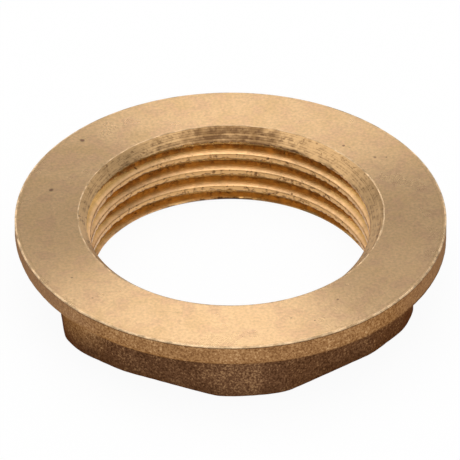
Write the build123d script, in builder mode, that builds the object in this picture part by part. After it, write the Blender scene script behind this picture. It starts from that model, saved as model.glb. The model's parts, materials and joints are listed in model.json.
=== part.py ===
from build123d import *
import math
import os

# Flanged brass locknut: a round sealing flange on a low hexagonal body, with a
# right hand thread running through both. One casting, turned on its top face and
# in its bore.
# Millimetres. Origin on the axis in the plane of the hexagon's bottom face, +Z up
# through the flange, two of the six flats square to X.

os.makedirs("parts", exist_ok=True)

# overall
nut_height = 8.8

# thread, 12 to the inch with a 60 degree profile; the groove's middle passes
# thread_rise above the bottom face on the +X side
thread_major_dia = 32.0
thread_depth = 1.13
thread_pitch = 25.4 / 12
thread_rise = 0.33
thread_angle = 60.0
thread_root_flat = thread_pitch / 8

# lead in from the flange face, opened a little wider than the thread
sink_clearance = 0.17
sink_angle = 85.0

# bevel at the lower end of the bore
bore_bevel = 0.55

# hexagonal body: the wall behind each flat makes it 38 across the flats, and
# each corner is turned back from its full point
body_wall = 3.0
corner_cut = 1.84
hex_edge_round = 0.3
root_round = 0.5

# flange, 46 across
face_width = 7.0
flange_thick = 2.4
flange_lip = 0.15
flange_under_round = 0.4

root_radius = thread_major_dia / 2
crest_radius = root_radius - thread_depth
sink_radius = root_radius + sink_clearance
flat_radius = root_radius + body_wall
corner_radius = flat_radius / math.cos(math.radians(30)) - corner_cut
flange_radius = root_radius + face_width
hex_height = nut_height - flange_thick
flank_slope = math.tan(math.radians(thread_angle / 2))

# one turn of the thread's groove as a solid to cut with; its mouth reaches a
# little inside the crests so that the cut is clean
mouth_reach = 0.25
with BuildPart() as groove_turn:
    with BuildLine() as groove_path:
        Helix(pitch=thread_pitch, height=thread_pitch, radius=crest_radius)
    with BuildSketch(Plane.XZ) as groove_profile:
        root_half = thread_root_flat / 2
        mouth_half = root_half + flank_slope * (thread_depth + mouth_reach)
        with Locations((crest_radius - mouth_reach, 0)):
            Polygon(
                (0, -mouth_half),
                (thread_depth + mouth_reach, -root_half),
                (thread_depth + mouth_reach, root_half),
                (0, mouth_half),
                align=None,
            )
    sweep(sections=groove_profile.sketch, path=groove_path.line, is_frenet=True)

with BuildPart() as locknut:
    # hexagon whose corners are cut back to a circle
    with BuildSketch() as hex_outline:
        RegularPolygon(radius=flat_radius, side_count=6, major_radius=False, rotation=30)
        Circle(corner_radius, mode=Mode.INTERSECT)
    extrude(amount=hex_height)
    fillet(locknut.edges().group_by(Axis.Z)[0], radius=hex_edge_round)

    # round flange on top of it
    with BuildSketch(Plane.XY.offset(hex_height)) as flange_outline:
        Circle(flange_radius)
    extrude(amount=flange_thick)
    under_flange = locknut.edges().filter_by_position(Axis.Z, hex_height, hex_height)
    flange_corner = under_flange.sort_by(SortBy.LENGTH)[-1]
    fillet(under_flange - [flange_corner], radius=root_round)
    fillet(flange_corner, radius=flange_under_round)
    chamfer(locknut.edges().group_by(Axis.Z)[-1], length=flange_lip)

    # bore at the thread's crests, opened by a cone at the flange face and
    # bevelled at its lower end
    with Locations((0, 0, nut_height)):
        CounterSinkHole(
            radius=crest_radius,
            counter_sink_radius=sink_radius,
            counter_sink_angle=sink_angle,
        )
    bore_end = locknut.edges().group_by(Axis.Z)[0].sort_by(SortBy.LENGTH)[-1]
    chamfer(bore_end, length=bore_bevel)

    # thread groove, turn upon turn from below the bottom face to above the flange
    turn_count = math.ceil(nut_height / thread_pitch) + 2
    turn_starts = [thread_rise + thread_pitch * (turn - 1) for turn in range(turn_count)]
    with Locations([(0, 0, start) for start in turn_starts]):
        add(groove_turn.part, mode=Mode.SUBTRACT)

locknut.part.label = "locknut"
export_step(locknut.part, "parts/locknut.step")
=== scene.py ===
import json
import math
import bpy
import numpy as np
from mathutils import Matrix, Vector


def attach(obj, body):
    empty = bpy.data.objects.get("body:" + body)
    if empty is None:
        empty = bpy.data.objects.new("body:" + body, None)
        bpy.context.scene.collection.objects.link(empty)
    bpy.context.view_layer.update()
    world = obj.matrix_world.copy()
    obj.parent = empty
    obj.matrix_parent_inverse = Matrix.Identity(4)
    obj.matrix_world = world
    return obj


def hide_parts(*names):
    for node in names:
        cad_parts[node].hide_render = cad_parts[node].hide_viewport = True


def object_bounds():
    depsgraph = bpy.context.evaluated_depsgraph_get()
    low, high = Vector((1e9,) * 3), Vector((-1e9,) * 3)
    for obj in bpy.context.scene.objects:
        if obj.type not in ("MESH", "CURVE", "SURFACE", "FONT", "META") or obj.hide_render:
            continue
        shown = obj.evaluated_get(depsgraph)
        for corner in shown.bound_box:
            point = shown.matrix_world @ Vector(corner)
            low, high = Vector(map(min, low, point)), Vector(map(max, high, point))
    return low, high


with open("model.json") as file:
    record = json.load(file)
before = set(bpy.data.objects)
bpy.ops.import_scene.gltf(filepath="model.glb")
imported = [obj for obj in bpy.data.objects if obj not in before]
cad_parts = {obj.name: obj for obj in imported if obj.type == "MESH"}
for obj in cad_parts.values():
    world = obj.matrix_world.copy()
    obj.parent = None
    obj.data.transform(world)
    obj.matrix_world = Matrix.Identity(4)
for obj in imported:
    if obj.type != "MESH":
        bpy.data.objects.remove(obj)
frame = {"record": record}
cadLow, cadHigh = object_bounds()
mm = 0.001
print("frame loaded")

# finishes, in the order of the mesh's material slots
faceKind, coneKind, threadKind, castKind, edgeKind = range(5)

# the nut in mm and degrees; its reach and the crest of its thread follow the frame
threadMount = next(m for m in frame["record"]["mounts"] if m["name"] == "thread")
threadPitch = 25.4 / 12          # 12 to the inch
nut = {
    # flange
    "flangeRadius": (cadHigh.x - cadLow.x) / 2 / mm,
    "height": (cadHigh.z - cadLow.z) / mm,
    "flangeThick": 2.4,
    "lip": 0.15,                 # bevel at the top corner
    "rimLand": 0.30,             # land along the rim
    "rubbedStrip": 0.06,         # outermost part of the land, rubbed like the lip
    # round at the lower corner, on average; the face was turned slightly out of true with the casting, so
    # it is wider by underLean on the side away from underAzimuth
    "underRound": 0.46,
    "underLean": 0.42,
    "underAzimuth": 345.0,
    # hexagonal body
    "flatRadius": 19.0,          # half of 38 across the flats
    "corners": [                 # direction of each corner and the radius it is cut back to
        (30, 20.10), (90, 20.10), (150, 20.10), (210, 20.14), (270, 20.09), (330, 20.22),
    ],
    "flats": [                   # direction of each flat and of two worn corners, and how far out it lies
        (0, 18.9), (60, 19.0), (120, 19.0), (180, 18.6), (240, 18.95), (300, 19.06),
        (227.5, 19.4), (314.8, 19.64),
    ],
    "creaseRound": 0.18,         # between two flats
    "hexEdgeRound": 0.3,         # at the bottom face
    "rootRound": 0.5,            # where the body meets the flange
    # thread
    "crestRadius": threadMount["dims"]["r_mm"],
    "pitch": threadPitch,
    "threadDepth": 1.13,
    "threadAngle": 60.0,
    "threadRise": 0.33,          # height of the groove's middle at angle 0
    "rootFlat": threadPitch / 8, # at the bottom of the groove
    "grooveRound": 0.12,         # corner between that and the flanks
    "crestRound": 0.07,
    "boreBevel": 0.55,           # at the lower end of the bore
    "runOut": 0.45,              # the groove looks like the cone where its middle is this near the face
    # lead in cone at the flange face
    "sinkRadius": 16.17,
    "sinkAngle": 116.0,          # on average; the tool leaned, so one side came out flatter by sinkLean
    "sinkLean": 0.45,
    "sinkOffset": 0.57,          # the cone was cut off the thread's axis
    "sinkAzimuth": 84.0,
    "bevelWidth": 0.20,          # second, flatter cut over one side of the cone's edge
    "bevelAngle": 150.0,
    "bevelAzimuth": 10.0,
    "bevelReach": 34.0,
    "edgeBreak": 0.08,           # broken edge around the cone
    "edgeEase": 0.5,             # share by which it is narrower in the middle of the bevel
    "edgeAngle": 160.0,
    # relief: depths, and the shortest and longest waves
    "reliefRadius": 15.0,        # where the tear of the crests is read
    "raggedEdge": 0.14,          # tear along the lower edges of the crests
    "tearLengths": (0.4, 1.2),
    "tearLow": -0.3,             # share of it that goes the other way
    "tearFade": 0.5,             # height in which it fades out below the face
    "castRelief": 0.045,         # unevenness of the cast skin
    "castLengths": ((2.5, 9.0), (0.7, 1.8)),
    "seed": 11,
    # lines of the mesh: steps are shares of the way, but flankSteps are mm from the groove's middle and
    # roundSteps are degrees
    "columns": 648,
    "bevelSteps": (0, 0.12, 0.3, 0.5, 0.7, 0.88),
    "flankSteps": (0.08, 0.14, 0.26, 0.42, 0.57, 0.68, 0.74, 0.785, 0.84, 0.93),
    "coneSteps": 9,
    "coneEase": 1.6,             # draws the cone's lines together towards the face
    "leastCone": 0.08,           # least height that they share out
    "faceStep": 0.05,            # first line of the face, beside the cone's edge
    "faceSteps": (0.08, 0.25, 0.45, 0.65, 0.85),
    "rimSteps": (0.1, 0.25, 0.4, 0.55, 0.7, 0.85),
    "ledgeSteps": (0.33, 0.66),
    "wallSteps": 10,
    "bottomSteps": (0, 0.33, 0.66),
    "roundSteps": (0, 30, 60, 90),
    "sharpAngle": 30.0,
}


def softMax(a, b, blend):
    # the larger of two values, its corner rounded over about blend
    return 0.5 * (a + b + np.sqrt((a - b) ** 2 + blend ** 2))


def onRing(radius, angle, z):
    # points from radius, angle and height: x is radius times cosine, y is radius times sine
    return np.stack([radius * np.cos(angle), radius * np.sin(angle), z], -1)


def waves(points, seed, shortest, longest, count=30, press=0.8):
    # relief from -1 to 1: a sum of sines with seeded directions, lengths and phases, over its own usual
    # size, and pressed flat at its ends by the hyperbolic tangent
    draw = np.random.default_rng(seed)
    direction = draw.normal(size=(count, 3))
    direction /= np.linalg.norm(direction, axis=1)[:, None]
    length = shortest * (longest / shortest) ** draw.random(count)
    phase = draw.random(count) * 2 * np.pi
    total = np.zeros(points.shape[:-1])
    for vector, shift in zip(direction * (2 * np.pi / length)[:, None], phase):
        total += np.sin(points @ vector + shift)
    return np.tanh(total / math.sqrt(count / 2) * press)


def threadRadius(z, angle, cfg):
    # the groove's depth falls along the flanks with the distance from its middle, which climbs a pitch a
    # turn; tear widens it above the middle, at the next crest's lower edge. Also gives the middle's height
    pitch = cfg["pitch"]
    along = z - cfg["threadRise"] - pitch * angle / (2 * np.pi)
    along = (along + pitch / 2) % pitch - pitch / 2
    tear = waves(onRing(cfg["reliefRadius"], angle, z), cfg["seed"], *cfg["tearLengths"])
    tear = cfg["raggedEdge"] * np.maximum(tear, cfg["tearLow"])
    tear = tear * np.clip((cfg["height"] - cfg["tearFade"] - z) / cfg["tearFade"], 0, 1)
    off = np.abs(along) - np.where(along > 0, tear, 0)
    fall = (off - cfg["rootFlat"] / 2) / math.tan(math.radians(cfg["threadAngle"] / 2))
    fall = softMax(fall, 0.0, cfg["grooveRound"])
    depth = softMax(cfg["threadDepth"] - fall, 0.0, cfg["crestRound"])
    return cfg["crestRadius"] + depth, z - along


def sinkTop(angle, cfg):
    # radius of the off centre cone at the flange face
    return cfg["sinkRadius"] + cfg["sinkOffset"] * np.cos(angle - math.radians(cfg["sinkAzimuth"]))


def sinkSlope(angle, cfg):
    # radius the cone gains per height
    lean = cfg["sinkLean"] * np.cos(angle - math.radians(cfg["sinkAzimuth"]))
    return math.tan(math.radians(cfg["sinkAngle"] / 2)) + lean


def leadRadius(z, angle, cfg):
    # the cone, the flatter bevel where it reaches and a broken edge at the top; the widest one shows, and
    # the second value tells where that is the edge
    depth = cfg["height"] - z
    turn = np.degrees(angle) - cfg["bevelAzimuth"]
    turn = (turn + 180) % 360 - 180
    share = np.clip(1 - (turn / cfg["bevelReach"]) ** 2, 0, None)
    top = sinkTop(angle, cfg)
    cone = top - depth * sinkSlope(angle, cfg)
    wide = top + cfg["bevelWidth"] * share
    bevel = wide - depth * math.tan(math.radians(cfg["bevelAngle"] / 2))
    broken = cfg["edgeBreak"] * (1 - cfg["edgeEase"] * share)
    edge = wide + broken - depth * math.tan(math.radians(cfg["edgeAngle"] / 2))
    cut = np.maximum(cone, bevel)
    return np.maximum(cut, edge), edge > cut


def wallRadius(z, angle, cfg):
    # bore wall: thread, opened by the lead in above and by a 45 degree bevel below
    below = cfg["crestRadius"] + cfg["boreBevel"] - z
    wall = np.maximum(threadRadius(z, angle, cfg)[0], leadRadius(z, angle, cfg)[0])
    return np.maximum(wall, below)


def columnAngles(cfg):
    # columns share out so that each corner of the hexagon starts and ends on one
    sides = 6
    sector = 360 / sides
    half = math.degrees(math.acos(cfg["flatRadius"] / cfg["corners"][0][1]))
    perSide = cfg["columns"] // sides
    onFlat = round(perSide * half / (sector / 2))
    flat = np.linspace(-half, half, onFlat, endpoint=False)
    corner = np.linspace(half, sector - half, perSide - onFlat, endpoint=False)
    side = np.concatenate([flat, corner])
    return np.radians((side + sector * np.arange(sides)[:, None]).ravel())


def hexRadius(angle, cfg):
    # distance to the nearest flat along the ray, cut back to the corners' radius
    leastFacing = 0.2            # keeps the flats that face away out of reach
    azimuths, radii = zip(*cfg["corners"])
    reach = np.interp(np.degrees(angle), azimuths, radii, period=360)
    for azimuth, distance in cfg["flats"]:
        facing = np.maximum(np.cos(angle - math.radians(azimuth)), leastFacing)
        reach = -softMax(-reach, -distance / facing, cfg["creaseRound"])
    return reach


def boreLines(angle, cfg):
    # heights of the bore's lines, column by line: level ones in the bevel, then ones that climb with the
    # thread and are held between the bevel and the height where the cone clears the groove, then level
    # ones again; under and over tell which are held
    pitch = cfg["pitch"]
    spare = 2                    # turns below and above that the holding takes up
    low = np.full((len(angle), 1), cfg["boreBevel"])
    clear = (sinkTop(angle, cfg) - cfg["crestRadius"] - cfg["threadDepth"]) / sinkSlope(angle, cfg)
    high = cfg["height"] - np.maximum(clear, cfg["leastCone"])[:, None]
    bevel = low * np.array(cfg["bevelSteps"])
    half = np.array(cfg["flankSteps"])
    turn = np.concatenate([-half[::-1], [0.0], half, [pitch / 2]])
    turns = np.arange(-spare, int(cfg["height"] / pitch) + spare)
    start = (turns[:, None] * pitch + turn).ravel() + cfg["threadRise"]
    climb = start + pitch * angle[:, None] / (2 * np.pi)
    under, over = climb <= low, climb >= high
    share = 1 - (1 - np.linspace(0, 1, cfg["coneSteps"] + 1)[1:]) ** cfg["coneEase"]
    cone = high + (cfg["height"] - high) * share
    return bevel, np.clip(climb, low, high), cone, under, over, len(turn)


def outerLines(angle, inner, foot, cfg):
    # the outside from the flange face to the bottom face: radius and height of each line, and the finish
    # after it; corners are quarter circles, and steps are shares of the way between them
    hexR = hexRadius(angle, cfg)
    rim, height, thick = cfg["flangeRadius"], cfg["height"], cfg["flangeThick"]
    lip, root, edge = cfg["lip"], cfg["rootRound"], cfg["hexEdgeRound"]
    under = cfg["underRound"] - cfg["underLean"] * np.cos(angle - math.radians(cfg["underAzimuth"]))
    top, hexTop = rim - lip, height - thick
    quarter = np.radians(cfg["roundSteps"])
    lines = [(inner + cfg["faceStep"], height, faceKind)]
    for t in cfg["faceSteps"]:
        lines.append((inner + (top - inner) * t, height, faceKind))
    lines.append((top - cfg["rimLand"], height, faceKind))
    lines.append((top - cfg["rubbedStrip"], height, edgeKind))
    for t in quarter[:-1]:
        lines.append((top + lip * math.sin(t), height - lip + lip * math.cos(t), edgeKind))
    lines.append((rim, height - lip, castKind))
    for t in cfg["rimSteps"]:
        lines.append((rim, height - lip - (thick - lip - under) * t, castKind))
    for t in quarter:
        lines.append((rim - under + under * math.cos(t), hexTop + under - under * math.sin(t), castKind))
    for t in cfg["ledgeSteps"]:
        lines.append((rim - under + (hexR + root - rim + under) * t, hexTop, castKind))
    for t in quarter:
        lines.append((hexR + root - root * math.sin(t), hexTop - root + root * math.cos(t), castKind))
    for t in np.linspace(0, 1, cfg["wallSteps"] + 2)[1:-1]:
        lines.append((hexR, hexTop - root + (edge - hexTop + root) * t, castKind))
    for t in quarter[:-1]:
        lines.append((hexR - edge + edge * math.cos(t), edge - edge * math.sin(t), castKind))
    for t in cfg["bottomSteps"]:
        lines.append((hexR - edge + (foot - hexR + edge) * t, 0.0, faceKind))
    one = np.ones(len(angle))
    radius = np.stack([one * line[0] for line in lines], 1)
    level = np.stack([one * line[1] for line in lines], 1)
    return radius, level, [line[2] for line in lines]


def castBack(points, cfg):
    # how far the cast skin stands back from the true shape: half of the relief, and up to a quarter of it
    # more or less by coarse waves and again by fine ones
    coarse = waves(points, cfg["seed"] + 1, *cfg["castLengths"][0])
    fine = waves(points, cfg["seed"] + 2, *cfg["castLengths"][1])
    return cfg["castRelief"] * (0.5 + 0.25 * coarse + 0.25 * fine)


def boreKinds(z, angle, cfg):
    # finish after each line of the bore: cone where the lead in is wider than the thread, at this line or
    # the next, and in the groove's last turn; rubbed where the broken edge shows, thread elsewhere
    lead, broken = leadRadius(z, angle, cfg)
    groove, middle = threadRadius(z, angle, cfg)
    led = lead > groove
    led[:, :-1] |= led[:, 1:]
    lastTurn = middle > cfg["height"] - cfg["runOut"]
    return np.where(led & broken, edgeKind, np.where(led | lastTurn, coneKind, threadKind))


def ringTriangles(shape, first, under, over, perTurn):
    # two triangles between each column and line and the next ones, as numbers of points
    number = np.arange(shape[0] * shape[1]).reshape(shape)
    last = first + under.shape[1]
    # held thread lines fold into the bevel's and the cone's edge
    part = number[:, first:last]
    part = np.where(under, part[:, :1], part)
    number[:, first:last] = np.where(over, part[:, -1:], part)
    # the last column meets the first one, a turn of the thread further on
    right = np.roll(number, -1, 0)
    step = np.minimum(np.arange(first, last) + perTurn, last - 1)
    right[-1, first:last] = number[0, step]
    up, rightUp = np.roll(number, -1, 1), np.roll(right, -1, 1)
    return np.concatenate([
        np.stack([number, rightUp, right], -1).reshape(-1, 3),
        np.stack([number, up, rightUp], -1).reshape(-1, 3),
    ])


def buildNut(cfg):
    # a closed ring of lines, each with a point in every column: up the bore, out over the face, down the
    # outside and back under; gives the points, the triangles and the finish of each triangle
    angle = columnAngles(cfg)
    bevel, climb, cone, under, over, perTurn = boreLines(angle, cfg)
    z = np.concatenate([bevel, climb, cone], 1)
    first, bore = bevel.shape[1], z.shape[1]
    a = np.repeat(angle[:, None], bore, 1)
    r = wallRadius(z, a, cfg)
    wallKinds = boreKinds(z, a, cfg)
    outR, outZ, outFinish = outerLines(angle, r[:, -1], r[:, 0], cfg)
    r = np.concatenate([r, outR], 1)
    z = np.concatenate([z, outZ], 1)
    a = np.repeat(angle[:, None], r.shape[1], 1)
    finish = np.array([threadKind] * bore + outFinish)
    r = r - castBack(onRing(r, a, z), cfg) * (finish == castKind)
    points = onRing(r, a, z).reshape(-1, 3)

    tris = ringTriangles(r.shape, first, under, over, perTurn)
    kinds = np.repeat(finish[None, :], len(angle), 0)
    kinds[:, first:bore] = wallKinds[:, first:]
    kinds = np.tile(kinds.ravel(), 2)

    # triangles that folded to a line go, and so do the points that none uses
    whole = (tris != np.roll(tris, 1, 1)).all(1)
    used, renumbered = np.unique(tris[whole], return_inverse=True)
    return points[used], renumbered.reshape(-1, 3), kinds[whole]


points, triangles, kinds = buildNut(nut)
mesh = bpy.data.meshes.new("turnedLocknut")
mesh.from_pydata((points * mm).tolist(), [], triangles.tolist())
mesh.polygons.foreach_set("use_smooth", np.ones(len(triangles), bool))
mesh.set_sharp_from_angle(angle=math.radians(nut["sharpAngle"]))
nutPiece = bpy.data.objects.new("turnedLocknut", mesh)
bpy.context.collection.objects.link(nutPiece)
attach(nutPiece, "root")
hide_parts("locknut")
print("nut", len(points), "points", len(triangles), "triangles")


def plug(tree, socket, value):
    # links another node's output, or sets a fixed value; a colour gets its alpha here
    if isinstance(value, bpy.types.NodeSocket):
        tree.links.new(value, socket)
    elif socket.type == "RGBA":
        socket.default_value = (*value, 1)
    else:
        socket.default_value = value


def addNode(tree, kind, sockets, **settings):
    # one node: settings are its own properties, sockets are values or links by name or number
    made = tree.nodes.new(kind)
    for key, value in settings.items():
        setattr(made, key, value)
    for key, value in sockets.items():
        plug(tree, made.inputs[key], value)
    return made


def maths(tree, operation, a, b=0.0):
    # what a Math node makes of a and b; operation is its own name for it
    return addNode(tree, "ShaderNodeMath", {0: a, 1: b}, operation=operation).outputs[0]


def add(tree, a, b):
    # a plus b
    return maths(tree, "ADD", a, b)


def times(tree, a, b):
    # a times b
    return maths(tree, "MULTIPLY", a, b)


def noise(tree, place, scale, detail, rough=0.5, distort=0.0):
    # noise from 0 to 1; scale is cells per metre
    sockets = {"Vector": place, "Scale": scale, "Detail": detail, "Roughness": rough}
    sockets["Distortion"] = distort
    return addNode(tree, "ShaderNodeTexNoise", sockets).outputs["Fac"]


def band(tree, value, low, high, bottom=0.0, top=1.0):
    # value from low to high brought to bottom to top, held at both ends
    sockets = {"Value": value, "From Min": low, "From Max": high, "To Min": bottom, "To Max": top}
    return addNode(tree, "ShaderNodeMapRange", sockets, clamp=True).outputs[0]


def blend(tree, share, a, b, mode="MIX"):
    # a tone that is a where the share is 0 and b where it is 1
    sockets = {0: share, 6: a, 7: b}
    return addNode(tree, "ShaderNodeMix", sockets, data_type="RGBA", blend_type=mode).outputs[2]


def shaded(tree, tone, value):
    # a tone times a number
    gray = addNode(tree, "ShaderNodeCombineColor", {0: value, 1: value, 2: value}).outputs[0]
    return blend(tree, 1.0, tone, gray, "MULTIPLY")


def axes(tree, place):
    # x, y and z of a place or a direction
    return addNode(tree, "ShaderNodeSeparateXYZ", {0: place}).outputs


def heightOf(tree, place):
    # height in mm
    return times(tree, axes(tree, place)["Z"], 1 / mm)


def radiusOf(tree, place):
    # distance from the axis in mm: the root of x squared plus y squared
    x, y = axes(tree, place)[:2]
    square = add(tree, times(tree, x, x), times(tree, y, y))
    return times(tree, maths(tree, "SQRT", square), 1 / mm)


def farFrom(tree, place, centre):
    # distance from a point in metres
    sockets = {0: place, 1: centre}
    return addNode(tree, "ShaderNodeVectorMath", sockets, operation="DISTANCE").outputs["Value"]


def bump(tree, shader, height, distance):
    # relief: the surface seems to stand up by the value times the distance, in mm
    sockets = {"Height": height, "Distance": distance * mm, "Strength": 1.0}
    plug(tree, shader.inputs["Normal"], addNode(tree, "ShaderNodeBump", sockets).outputs[0])


def startMaterial(name, settings):
    # a Principled material in the nut's next slot, and the object place in metres
    material = bpy.data.materials.new(name)
    material.use_nodes = True
    tree = material.node_tree
    shader = tree.nodes["Principled BSDF"]
    for key, value in settings.items():
        plug(tree, shader.inputs[key], value)
    mesh.materials.append(material)
    return tree, shader, addNode(tree, "ShaderNodeTexCoord", {}).outputs["Object"]


# in the finishes below a noise is given by its cells per metre, detail, roughness and distortion, and a
# band by the two values it runs between and, where they aren't 0 and 1, by what they become


def faceFinish():
    # turned flange face: fine grain on satin gold, olive smudges that gather at the back, reddish clouds,
    # blemishes, a faint line along the rim and placed dark specks
    look = {
        "gold": (0.86, 0.565, 0.300),
        "smudge": (0.68, 0.44, 0.215),
        "blush": (0.74, 0.455, 0.26),
        "scratch": (0.50, 0.30, 0.14),
        "speck": (0.25, 0.125, 0.08),
        "shine": {"Metallic": 1.0, "Anisotropic": 0.88},
        "cloudNoise": (260, 3.0, 0.6),
        "backward": 4.0,         # what a metre to the back adds to the cloud for the smudges
        "smudgeBand": (0.40, 0.72, 0, 0.75),
        "blushNoise": (620, 2.0),
        "blushBand": (0.48, 0.64, 0, 0.6),
        "lineNoise": (300, 2.0),
        "lineWaver": 0.35,       # mm
        "lineOffset": 0.17,      # from the inner edge of the rim's land, in mm
        "lineBand": (0.02, 0.09, 0.55, 0.0),         # mm to each side
        "blemishNoise": (900, 4.0, 0.7, 0.6),
        "blemishBand": (0.66, 0.74, 0, 0.5),
        "grainNoise": (3200, 2.0),
        "grainBand": (0.3, 0.7, 0.86, 1.08),
        "grainRelief": 0.012,    # mm
        "roughBand": (0.3, 0.8, 0.26, 0.38),
        "wobbleNoise": (2600, 1.0),
        "wobble": 0.3,           # unevenness of a speck's outline, in mm
        "speckSoft": 0.18,       # width of its soft edge, in mm
        "speckShare": 0.9,
        "specks": [              # place on the face and size, in mm
            (-14.3, 15.7, 0.30), (-18.5, 7.1, 0.28), (-17.8, -8.8, 0.16), (-16.0, -12.6, 0.12),
            (9.6, -15.7, 0.16), (5.9, 19.0, 0.14), (17.8, 9.1, 0.15), (16.6, 9.2, 0.18),
            (4.4, -18.4, 0.14), (6.8, -19.1, 0.12), (13.5, 11.7, 0.20), (14.1, 11.3, 0.12),
        ],
    }
    tree, shader, place = startMaterial("turnedFace", look["shine"])
    grain = noise(tree, place, *look["grainNoise"])
    cloud = noise(tree, place, *look["cloudNoise"])
    dull = add(tree, cloud, times(tree, axes(tree, place)["Y"], look["backward"]))
    tone = blend(tree, band(tree, dull, *look["smudgeBand"]), look["gold"], look["smudge"])
    reddish = noise(tree, place, *look["blushNoise"])
    tone = blend(tree, band(tree, reddish, *look["blushBand"]), tone, look["blush"])

    waver = times(tree, noise(tree, place, *look["lineNoise"]), look["lineWaver"])
    land = nut["flangeRadius"] - nut["lip"] - nut["rimLand"] + look["lineOffset"]
    beside = maths(tree, "SUBTRACT", add(tree, radiusOf(tree, place), waver), land)
    line = band(tree, maths(tree, "ABSOLUTE", beside), *look["lineBand"])
    tone = blend(tree, line, tone, look["smudge"])

    blemish = noise(tree, place, *look["blemishNoise"])
    tone = blend(tree, band(tree, blemish, *look["blemishBand"]), tone, look["scratch"])
    tone = shaded(tree, tone, band(tree, grain, *look["grainBand"]))
    wobble = times(tree, noise(tree, place, *look["wobbleNoise"]), look["wobble"] * mm)
    for x, y, size in look["specks"]:
        far = farFrom(tree, place, (x * mm, y * mm, nut["height"] * mm))
        reach = add(tree, far, wobble)
        spot = band(tree, reach, size * mm, (size + look["speckSoft"]) * mm, look["speckShare"], 0)
        tone = blend(tree, spot, tone, look["speck"])
    plug(tree, shader.inputs["Base Color"], tone)
    plug(tree, shader.inputs["Roughness"], band(tree, cloud, *look["roughBand"]))
    plug(tree, shader.inputs["Tangent"], place)
    bump(tree, shader, grain, look["grainRelief"])


def coneFinish():
    # turned cone: rings of tool marks, a brown stain at the back, smaller ones and specks elsewhere, and a
    # dark, ragged foot within the stain
    look = {
        "gold": (0.53, 0.33, 0.155),
        "stain": (0.24, 0.135, 0.056),
        "dark": (0.090, 0.042, 0.018),
        "shine": {"Metallic": 1.0, "Anisotropic": 0.5, "Roughness": 0.36},
        "stainPlace": (0.0015, 0.0165, 0.0085),      # metres
        "stainFade": (0.002, 0.010, 0.26, 0.0),      # metres from there
        "patchNoise": (520, 4.0, 0.65, 0.4),
        "stainBand": (0.54, 0.84),
        "ringNoise": (10.0, 1.0, 0.7),               # cells per mm of height
        "tornNoise": (1500, 2.0, 0.6),
        "tornShare": 0.5,        # how much it breaks up the rings, and the foot in mm
        "ringStain": 0.45,       # how much darker the rings are within the stain
        "ringBand": (0.76, 0.97, 0, 0.85),
        "ringRelief": 0.035,     # mm
        "foot": 0.35,            # how far outside the crests the ragged foot begins, in mm
        "footSoft": 0.15,
        "footShare": 0.9,
        "footBand": (0.0, 0.06), # of the stain's fade, where the foot comes in
        "speckNoise": (2600, 2.0),
        "speckBand": (0.61, 0.70, 0.0, 0.6),
    }
    tree, shader, place = startMaterial("turnedCone", look["shine"])
    upright = addNode(tree, "ShaderNodeCombineXYZ", {2: heightOf(tree, place)}).outputs[0]
    torn = times(tree, noise(tree, place, *look["tornNoise"]), look["tornShare"])
    rings = add(tree, noise(tree, upright, *look["ringNoise"]), torn)
    near = band(tree, farFrom(tree, place, look["stainPlace"]), *look["stainFade"])
    soiled = add(tree, noise(tree, place, *look["patchNoise"]), near)
    tone = blend(tree, band(tree, soiled, *look["stainBand"]), look["gold"], look["stain"])
    lines = add(tree, rings, times(tree, near, look["ringStain"]))
    tone = blend(tree, band(tree, lines, *look["ringBand"]), tone, look["dark"])

    foot = nut["crestRadius"] + look["foot"]
    ragged = add(tree, radiusOf(tree, place), torn)
    ragged = band(tree, ragged, foot, foot + look["footSoft"], look["footShare"], 0.0)
    ragged = times(tree, ragged, band(tree, near, *look["footBand"]))
    tone = blend(tree, ragged, tone, look["dark"])
    specks = band(tree, noise(tree, place, *look["speckNoise"]), *look["speckBand"])
    tone = blend(tree, specks, tone, look["dark"])
    plug(tree, shader.inputs["Base Color"], tone)
    plug(tree, shader.inputs["Tangent"], place)
    bump(tree, shader, rings, look["ringRelief"])


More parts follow.
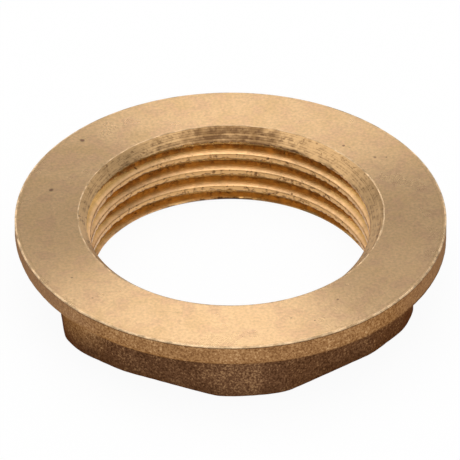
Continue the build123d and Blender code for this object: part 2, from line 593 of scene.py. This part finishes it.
def threadFinish():
    # cut thread: painted shade, bright where the flanks come up to the crests and deeper gold down in the
    # groove; mottled crests with painted shade on their downward faces; darker at the foot of the bore,
    # mostly on the left
    look = {
        "bright": (0.88, 0.54, 0.26),
        # painted shade: the groove's tone deep down, where the crests shade it
        "deep": (0.60, 0.345, 0.115),
        "crest": (0.69, 0.40, 0.165),
        "dark": (0.20, 0.09, 0.035),
        "grime": (0.06, 0.025, 0.012),
        "shine": {"Metallic": 1.0},
        # distances out from the crest radius, in mm
        "crestEdge": (0.03, 0.09),
        "flankEdge": (0.22, 0.50),
        "underEdge": (0.12, 0.24),
        "roughEdge": (0.25, 0.75),
        "rough": (0.38, 0.22),   # at the two ends of roughEdge
        "mottleNoise": (1900, 3.0, 0.75),
        "mottleBand": (0.53, 0.64),
        "mottleRelief": 0.03,    # mm
        "shadeNoise": (1100, 3.0, 0.6),
        "shadeBand": (0.35, 0.65, 0.80, 1.05),
        "underBand": (-0.30, -0.08, 0.9, 0.0),       # of the normal's height
        "speckNoise": (1300, 1.0),
        "speckBand": (0.72, 0.76),
        "grimeWaver": 0.5,       # mm
        "grimeBand": (0.48, 0.60, 1.0, 0.0),         # height in mm
        "grimeSide": (0.003, 0.008, 1.0, 0.15),      # x in metres
    }
    tree, shader, place = startMaterial("cutThread", look["shine"])
    outward = maths(tree, "SUBTRACT", radiusOf(tree, place), nut["crestRadius"])
    mottle = noise(tree, place, *look["mottleNoise"])
    worn = blend(tree, band(tree, mottle, *look["mottleBand"]), look["crest"], look["dark"])
    # painted shade: flanks bright near the crests, darker deep in the groove
    flank = blend(tree, band(tree, outward, *look["flankEdge"]), look["bright"], look["deep"])
    shade = band(tree, noise(tree, place, *look["shadeNoise"]), *look["shadeBand"])
    flank = shaded(tree, flank, shade)
    tone = blend(tree, band(tree, outward, *look["crestEdge"], 1.0, 0.0), flank, worn)

    normal = addNode(tree, "ShaderNodeTexCoord", {}).outputs["Normal"]
    # painted shade on faces that look down, near the crests
    under = band(tree, axes(tree, normal)["Z"], *look["underBand"])
    under = times(tree, under, band(tree, outward, *look["underEdge"], 1.0, 0.0))
    tone = blend(tree, under, tone, look["dark"])
    specks = band(tree, noise(tree, place, *look["speckNoise"]), *look["speckBand"])
    tone = blend(tree, specks, tone, look["dark"])
    # darker at the foot of the bore, mostly on the left
    ground = add(tree, heightOf(tree, place), times(tree, mottle, look["grimeWaver"]))
    grime = band(tree, axes(tree, place)["X"], *look["grimeSide"])
    grime = times(tree, band(tree, ground, *look["grimeBand"]), grime)
    tone = blend(tree, grime, tone, look["grime"])
    plug(tree, shader.inputs["Base Color"], tone)
    plug(tree, shader.inputs["Roughness"], band(tree, outward, *look["roughEdge"], *look["rough"]))
    bump(tree, shader, mottle, look["mottleRelief"])


def castFinish():
    # cast skin: sand grain, oxide brown in the hollows and gold where it is rubbed, which is more on the
    # flange's rim; the body's tones are darker, partly oxide and partly painted shade under the flange,
    # and more so near the bottom; painted highlight on two corners of the body; painted shade towards both
    # sides
    look = {
        # body tones: partly oxide, partly painted shade under the flange; the rim's lighter tones follow
        "hollow": (0.085, 0.037, 0.016),
        "skin": (0.180, 0.085, 0.041),
        "rubbed": (0.42, 0.24, 0.115),
        "rimHollow": (0.27, 0.125, 0.046),
        "rimSkin": (0.46, 0.245, 0.102),
        "rimRubbed": (0.70, 0.44, 0.22),
        # painted shade towards both sides, for body and rim
        "dull": (0.135, 0.074, 0.045),
        "rimDull": (0.39, 0.26, 0.185),
        "shine": {"Metallic": 1.0, "Specular Tint": (0.40, 0.27, 0.17)},
        "sandNoise": (4300, 3.0, 0.7),
        "cloudNoise": (450, 3.0, 0.6),
        "cloudShare": 0.24,
        "lift": 0.08,            # what is added to the sand all over, and once more in the front patch
        "skinBand": (0.56, 0.72),
        "rubbedBand": (0.76, 0.90),
        "rimSoft": 0.35,         # mm above the flange's lower face in which the rim's tones come in
        # painted highlight on the body's front and left corners
        "frontPatch": ((-107, -94), (-87.5, -86.5)), # directions in which a patch comes in and goes out
        "leftPatch": ((-166, -160), (-147, -138)),
        "leftBand": (0.8, 3.5),  # height in mm
        # painted shade near the bottom of the body
        "footBand": (0.2, 1.8, 0.5, 0.0),            # height in mm
        "lipEdge": (0.12, 0.04), # mm below the lip where the dark line under it comes in
        "lipShare": 0.8,
        "sideBand": (0.015, 0.0225, 0.0, 0.6),       # metres from the middle
        "roughBand": (0.5, 1.0, 0.66, 0.48),
        "sandRelief": 0.07,      # mm
    }
    tree, shader, place = startMaterial("castSkin", look["shine"])
    x, y = axes(tree, place)[:2]
    level = heightOf(tree, place)
    sand = noise(tree, place, *look["sandNoise"])
    cloud = times(tree, noise(tree, place, *look["cloudNoise"]), look["cloudShare"])
    amount = add(tree, add(tree, sand, look["lift"]), cloud)
    around = times(tree, maths(tree, "ARCTAN2", y, x), 180 / math.pi)

    def patch(comesIn, goesOut):
        # 1 between two directions
        return times(tree, band(tree, around, *comesIn), band(tree, around, *goesOut, 1.0, 0.0))

    def skin(value, hollow, middle, high):
        # three tones by how far the skin stands up
        tone = blend(tree, band(tree, value, *look["skinBand"]), hollow, middle)
        return blend(tree, band(tree, value, *look["rubbedBand"]), tone, high)

    # painted highlight on the front corner, lifted towards the rubbed gold
    frontLitAmount = add(tree, amount, times(tree, patch(*look["frontPatch"]), look["lift"]))
    # the body's tones carry painted shade under the flange as well as oxide
    body = skin(frontLitAmount, look["hollow"], look["skin"], look["rubbed"])
    # painted shade near the bottom of the body
    body = blend(tree, band(tree, level, *look["footBand"]), body, look["hollow"])
    edge = skin(amount, look["rimHollow"], look["rimSkin"], look["rimRubbed"])
    lipEnd = nut["height"] - nut["lip"]
    lineLow, lineHigh = (lipEnd - below for below in look["lipEdge"])
    line = band(tree, level, lineLow, lineHigh, 0.0, look["lipShare"])
    edge = blend(tree, line, edge, look["hollow"])
    rimFoot = nut["height"] - nut["flangeThick"]
    rim = band(tree, level, rimFoot, rimFoot + look["rimSoft"])
    # painted highlight on the left corner, in the rim's lighter tones
    leftHighlight = times(tree, patch(*look["leftPatch"]), band(tree, level, *look["leftBand"]))
    tone = blend(tree, maths(tree, "MAXIMUM", rim, leftHighlight), body, edge)
    # painted shade towards both sides as seen from the camera
    beside = band(tree, maths(tree, "ABSOLUTE", x), *look["sideBand"])
    tone = blend(tree, beside, tone, blend(tree, rim, look["dull"], look["rimDull"]))
    plug(tree, shader.inputs["Base Color"], tone)
    plug(tree, shader.inputs["Roughness"], band(tree, amount, *look["roughBand"]))
    bump(tree, shader, sand, look["sandRelief"])


def edgeFinish():
    # the flange's lip and the cone's broken edge: rubbed bright, dirty in places
    look = {
        "pale": (0.95, 0.69, 0.42),
        "dirty": (0.62, 0.42, 0.23),
        "shine": {"Metallic": 1.0},
        "dirtNoise": (700, 2.0),
        "dirtBand": (0.42, 0.62),
        "chafeNoise": (2200, 2.0),
        "chafeBand": (0.35, 0.65, 0.65, 1.0),
        "roughBand": (0.3, 0.7, 0.5, 0.62),
        "chafeRelief": 0.02,     # mm
    }
    tree, shader, place = startMaterial("rubbedEdge", look["shine"])
    chafe = noise(tree, place, *look["chafeNoise"])
    dirt = band(tree, noise(tree, place, *look["dirtNoise"]), *look["dirtBand"])
    tone = blend(tree, dirt, look["pale"], look["dirty"])
    tone = shaded(tree, tone, band(tree, chafe, *look["chafeBand"]))
    plug(tree, shader.inputs["Base Color"], tone)
    plug(tree, shader.inputs["Roughness"], band(tree, chafe, *look["roughBand"]))
    bump(tree, shader, chafe, look["chafeRelief"])


faceFinish()
coneFinish()
threadFinish()
castFinish()
edgeFinish()
mesh.polygons.foreach_set("material_index", kinds.astype(np.int32))
mesh.update()
print("finishes done")

# camera: its distance follows the photograph's weak perspective, angles in degrees, lengths in mm
shot = {
    "distance": 1150.0,
    "elevation": 36.24,
    "azimuth": -6.27,
    "aim": (-0.063, -2.20),      # on the flange face: to the camera's right, and away from it
    "flangePixels": 216.15,      # how long the flange's radius is in the picture
    "side": 460,                 # of the picture, in pixels
    "sensor": 36.0,
    "clip": (50.0, 20000.0),
}


def setCamera(cfg):
    # stands back from the flange face along two angles; the lens is as long as the flange's radius on the
    # sensor times the distance over the true radius
    e, a = math.radians(cfg["elevation"]), math.radians(cfg["azimuth"])
    back = Vector((math.sin(a) * math.cos(e), -math.cos(a) * math.cos(e), math.sin(e)))
    right = Vector((math.cos(a), math.sin(a), 0))
    away = Vector((-math.sin(a), math.cos(a), 0))
    face = Vector((0, 0, nut["height"]))
    eye = face + back * cfg["distance"]
    aim = face + right * cfg["aim"][0] + away * cfg["aim"][1]
    data = bpy.data.cameras.new("camera")
    data.sensor_width = cfg["sensor"]
    pixel = data.sensor_width / cfg["side"]
    data.lens = pixel * cfg["flangePixels"] * cfg["distance"] / nut["flangeRadius"]
    data.clip_start, data.clip_end = (length * mm for length in cfg["clip"])
    camera = bpy.data.objects.new("camera", data)
    camera.location = eye * mm
    camera.rotation_mode = "QUATERNION"
    camera.rotation_quaternion = (aim - eye).to_track_quat("-Z", "Y")
    bpy.context.collection.objects.link(camera)
    bpy.context.scene.camera = camera


setCamera(shot)

# pale room: lengths in metres
room = {
    "floorSide": 3.0,
    "floorLevel": -0.05 * mm,    # just under the nut's bottom face
    "floorPaint": (0.92, 0.92, 0.92),
    "floorGlow": 0.94,           # share of it that is seen as plain white; the rest has the shadow
    "wallLight": 0.40,
    "lamps": {                   # place, width, height and radiance
        "overhead": ((-0.055, 0.10, 0.48), 0.54, 0.54, 1.42),
        "backWall": ((0.0, 0.90, 0.22), 1.9, 0.40, 0.8),
        "frontFill": ((0.06, -0.28, 0.42), 0.36, 0.36, 1.8),
        "leftBank": ((-0.36, 0.28, 0.34), 0.24, 0.26, 0.85),
        "rightBank": ((0.36, 0.28, 0.34), 0.24, 0.26, 0.75),
    },
}


def addFloor(cfg):
    # pale floor that camera, glossy and transmission rays see nearly as plain white
    side, level = cfg["floorSide"], cfg["floorLevel"]
    floorMesh = bpy.data.meshes.new("floor")
    corners = [(-side, -side, level), (side, -side, level), (side, side, level), (-side, side, level)]
    floorMesh.from_pydata(corners, [], [(0, 1, 2, 3)])
    floor = bpy.data.objects.new("floor", floorMesh)
    bpy.context.collection.objects.link(floor)
    material = bpy.data.materials.new("paleFloor")
    material.use_nodes = True
    tree = material.node_tree
    tree.nodes.clear()
    rays = addNode(tree, "ShaderNodeLightPath", {}).outputs
    seen = maths(tree, "MAXIMUM", rays["Is Camera Ray"], rays["Is Glossy Ray"])
    seen = maths(tree, "MAXIMUM", seen, rays["Is Transmission Ray"])
    share = times(tree, seen, cfg["floorGlow"])
    paint = addNode(tree, "ShaderNodeBsdfDiffuse", {"Color": cfg["floorPaint"]}).outputs[0]
    glow = addNode(tree, "ShaderNodeEmission", {"Strength": 1.0}).outputs[0]
    mixed = addNode(tree, "ShaderNodeMixShader", {0: share, 1: paint, 2: glow}).outputs[0]
    addNode(tree, "ShaderNodeOutputMaterial", {"Surface": mixed})
    floorMesh.materials.append(material)


def softBox(name, place, wide, high, radiance):
    # area lamp aimed at the nut; power = pi * area * radiance
    data = bpy.data.lights.new(name, "AREA")
    data.shape = "RECTANGLE"
    data.size, data.size_y = wide, high
    data.energy = math.pi * wide * high * radiance
    lamp = bpy.data.objects.new(name, data)
    lamp.location = place
    lamp.rotation_mode = "QUATERNION"
    lamp.rotation_quaternion = (-Vector(place)).to_track_quat("-Z", "Y")
    bpy.context.collection.objects.link(lamp)


addFloor(room)
world = bpy.data.worlds.new("room")
world.use_nodes = True
background = world.node_tree.nodes["Background"].inputs
background["Color"].default_value = (1, 1, 1, 1)
background["Strength"].default_value = room["wallLight"]
bpy.context.scene.world = world
for name, settings in room["lamps"].items():
    softBox(name, *settings)
print("camera, floor and lamps done")

bpy.context.scene.view_settings.view_transform = "Standard"
